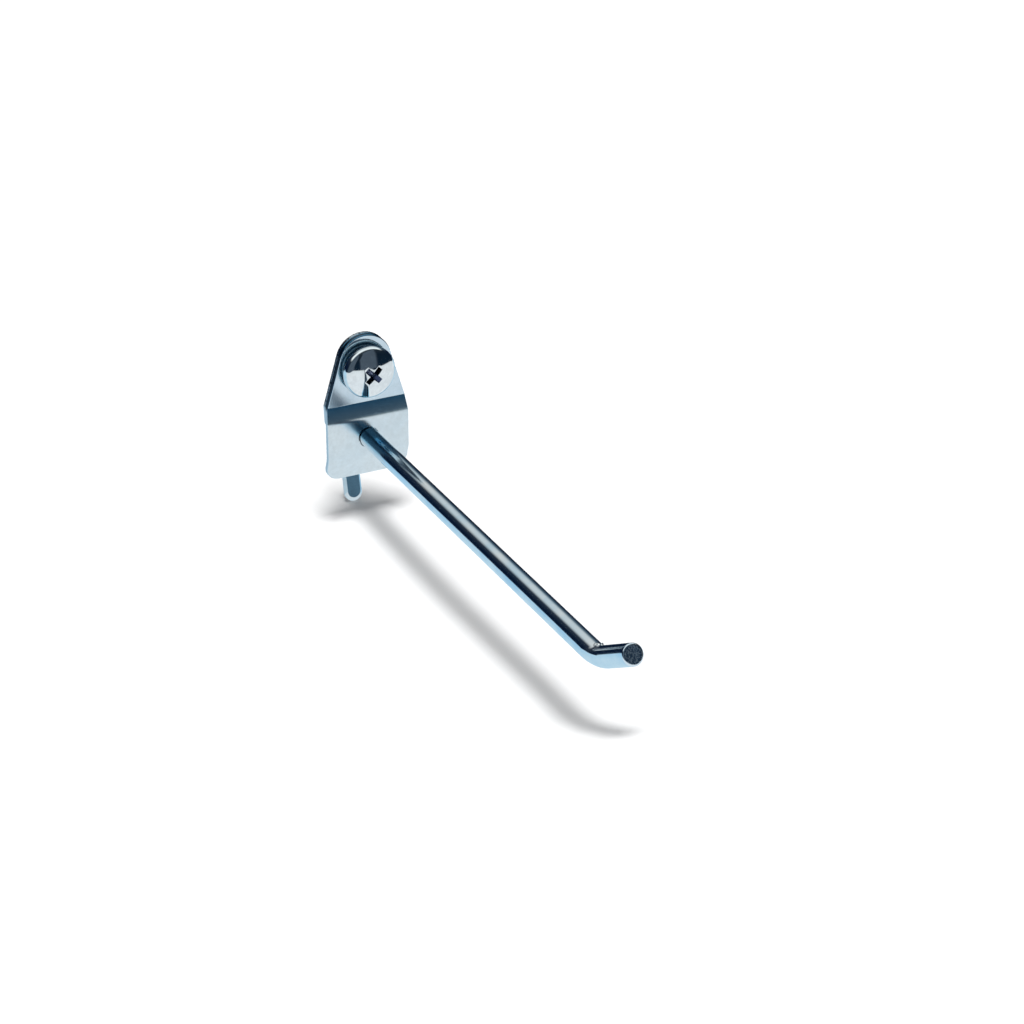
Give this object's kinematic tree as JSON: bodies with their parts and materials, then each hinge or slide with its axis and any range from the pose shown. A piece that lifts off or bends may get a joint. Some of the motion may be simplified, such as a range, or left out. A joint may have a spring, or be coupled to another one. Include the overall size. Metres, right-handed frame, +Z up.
{
  "type": "pegboard hook",
  "caption": "Zinc-plated pegboard hook: a straight rod with an upturned tip on an arched plate, with a tongue for the lower hole and a locking screw for the upper one.",
  "frame": {"origin": "on the back face of the plate, which lies on the board, on the middle plane and level with the rod's axis", "axes": "+Z up, -Y along the rod away from the board, +Y into the board, +X to the right as seen from the front"},
  "size_m": [0.0208, 0.1423, 0.0473],
  "materials": {
    "front_plate": "bright blue-white zinc plate",
    "back_plate": "bright blue-white zinc plate",
    "hook_rod": "bright blue-white zinc plate over drawn wire",
    "locking_screw": "bright nickel plate"
  },
  "bodies": {
    "root": {"front_plate": "front_plate", "back_plate": "back_plate", "hook_rod": "hook_rod", "locking_screw": "locking_screw"}
  },
  "joints": []
}
